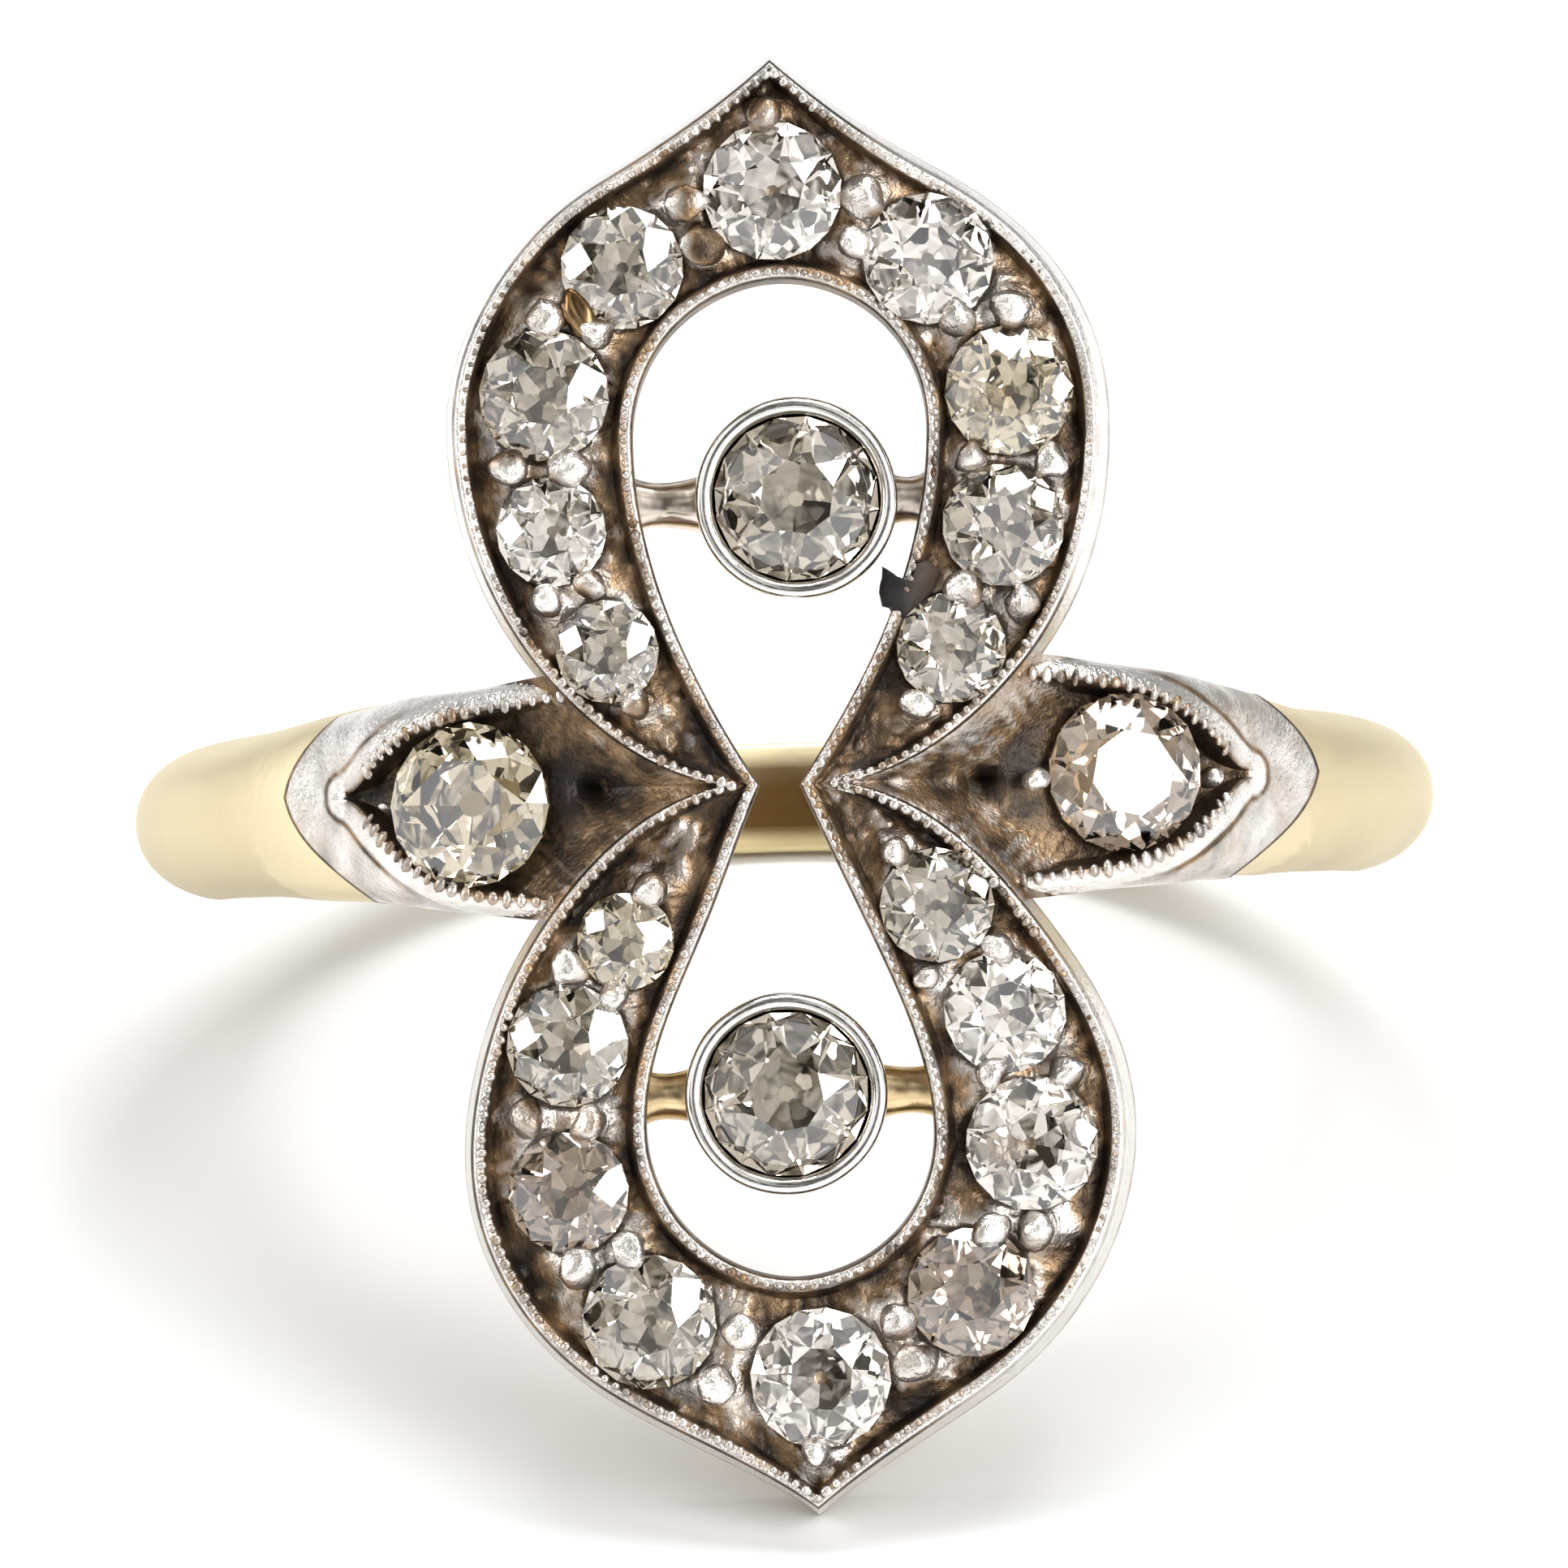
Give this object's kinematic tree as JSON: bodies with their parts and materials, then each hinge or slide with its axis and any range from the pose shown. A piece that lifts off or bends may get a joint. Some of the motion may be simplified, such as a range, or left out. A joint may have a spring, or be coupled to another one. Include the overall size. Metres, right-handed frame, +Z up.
{
  "type": "cluster ring",
  "caption": "Finger ring with a double-loop pierced head of silver on gold, set with round old-cut stones, a collet in each loop and a leaf-shaped setting on each shoulder.",
  "frame": {"origin": "centre of the base of the bounding box, on the floor that the ring rests on", "axes": "+Z is up from the floor, -Y is the way the head faces, +X is the viewer's right as the head is seen, and the finger axis leans back from the vertical by 27.5 degrees"},
  "size_m": [0.0196, 0.0227, 0.0186],
  "materials": {
    "gold": "softly polished yellow gold",
    "silver": "silver, bright on the rims and tarnished brown-grey in the recesses",
    "collet_silver": "polished silver",
    "diamond": "old-cut diamond"
  },
  "bodies": {
    "root": {"gold_shank": "gold", "silver_head": "silver", "upper_collet": "collet_silver", "lower_collet": "collet_silver", "upper_collet_stone": "diamond", "lower_collet_stone": "diamond", "left_shoulder_stone": "diamond", "right_shoulder_stone": "diamond", "upper_stone_1": "diamond", "upper_stone_2": "diamond", "upper_stone_3": "diamond", "upper_stone_4": "diamond", "upper_stone_5": "diamond", "upper_stone_6": "diamond", "upper_stone_7": "diamond", "upper_stone_8": "diamond", "upper_stone_9": "diamond", "lower_stone_1": "diamond", "lower_stone_2": "diamond", "lower_stone_3": "diamond", "lower_stone_4": "diamond", "lower_stone_5": "diamond", "lower_stone_6": "diamond", "lower_stone_7": "diamond", "lower_stone_8": "diamond", "lower_stone_9": "diamond"}
  },
  "joints": []
}
